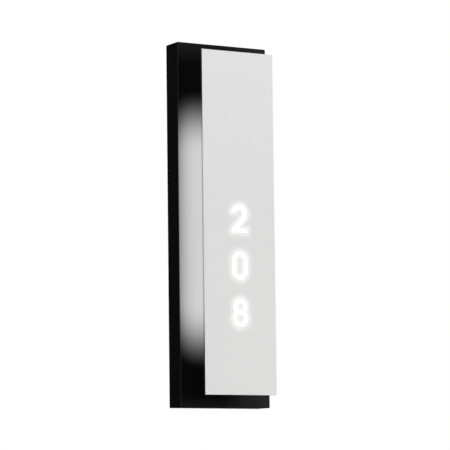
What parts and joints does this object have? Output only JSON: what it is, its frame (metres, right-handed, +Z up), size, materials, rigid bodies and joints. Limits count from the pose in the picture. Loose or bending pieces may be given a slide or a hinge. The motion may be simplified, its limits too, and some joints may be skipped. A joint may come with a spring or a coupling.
{
  "type": "room number wall light",
  "caption": "Wall light for a room door: a shallow black case carries a lit, numbered plate in front of it that throws a glow back on to the case at both sides.",
  "frame": {"origin": "centre of the tray's back face, on the wall plane", "axes": "+Z up along the light's length, +Y into the wall, +X to the right as seen from the room"},
  "size_m": [0.112, 0.06, 0.4],
  "materials": {
    "black_powder_coat": "satin",
    "zinc_steel": "satin",
    "screw_steel": "satin",
    "black_rubber": "matte",
    "grey_plastic": "matte",
    "lever_plastic": "gloss",
    "brass_contact": "satin",
    "driver_plastic": "matte",
    "green_board": "satin",
    "dark_component": "matte",
    "capacitor_sleeve": "gloss",
    "brown_lead": "matte",
    "blue_lead": "matte",
    "earth_lead_sleeve": "matte",
    "white_lead": "matte",
    "white_paint": "satin",
    "raw_aluminium": "satin",
    "white_board": "satin",
    "led_phosphor": "satin",
    "opal_acrylic": "satin",
    "digit_acrylic": "satin",
    "face_aluminium": "satin",
    "black_core": "matte"
  },
  "bodies": {
    "wall_side": {"wall_tray": "zinc_steel", "tray_flanges": "zinc_steel", "tray_catches": "zinc_steel", "cable_grommet": "black_rubber", "terminal_block": "grey_plastic", "terminal_contacts": "brass_contact", "lever_pin": "screw_steel", "terminal_screws": "screw_steel", "earth_stud": "screw_steel", "earth_nut": "screw_steel", "earth_tag": "brass_contact", "earth_lead": "earth_lead_sleeve", "live_lead": "brown_lead", "neutral_lead": "blue_lead", "driver_housing": "driver_plastic", "driver_lid": "driver_plastic", "driver_board": "green_board", "driver_transformer": "dark_component", "driver_capacitors": "capacitor_sleeve", "driver_screws": "screw_steel", "low_voltage_leads": "white_lead", "tray_lead_clip": "grey_plastic", "socket_block": "grey_plastic", "socket_contacts": "brass_contact", "socket_screws": "screw_steel"},
    "lever_live": {"lever_live": "lever_plastic"},
    "lever_neutral": {"lever_neutral": "lever_plastic"},
    "lever_earth": {"lever_earth": "lever_plastic"},
    "light": {"case": "black_powder_coat", "weld_nuts": "zinc_steel", "retaining_screws": "screw_steel", "plug_block": "grey_plastic", "plug_pins": "brass_contact", "plug_screws": "screw_steel", "led_leads": "white_lead", "case_lead_clip": "grey_plastic", "lead_grommet": "black_rubber", "light_box_base": "white_paint", "led_carrier": "raw_aluminium", "front_led_board": "white_board", "left_led_board": "white_board", "right_led_board": "white_board", "front_led_chips": "led_phosphor", "side_led_chips": "led_phosphor", "board_links": "white_board", "diffuser": "opal_acrylic", "end_caps": "opal_acrylic", "light_box_screws": "screw_steel", "light_box_nuts": "screw_steel", "standoffs": "raw_aluminium", "standoff_screws": "screw_steel", "plate_studs": "screw_steel", "face_plate": "face_aluminium", "plate_core": "black_core", "digit_panel": "opal_acrylic", "digit_two": "digit_acrylic", "digit_zero": "digit_acrylic", "digit_eight": "digit_acrylic", "counter_faces": "face_aluminium", "counter_cores": "black_core"}
  },
  "joints": [
    {"name": "light_pull_off", "type": "slide", "parent": "wall_side", "child": "light", "axis": [0, -1, 0], "range_m": [0, 0.06]},
    {"name": "lever_live_hinge", "type": "hinge", "parent": "wall_side", "child": "lever_live", "pos_m": [0, -0.0118, 0.0636], "axis": [-1, 0, 0], "range_deg": [0, 80]},
    {"name": "lever_neutral_hinge", "type": "hinge", "parent": "wall_side", "child": "lever_neutral", "pos_m": [0, -0.0118, 0.0636], "axis": [-1, 0, 0], "range_deg": [0, 80]},
    {"name": "lever_earth_hinge", "type": "hinge", "parent": "wall_side", "child": "lever_earth", "pos_m": [0, -0.0118, 0.0636], "axis": [-1, 0, 0], "range_deg": [0, 80]}
  ]
}
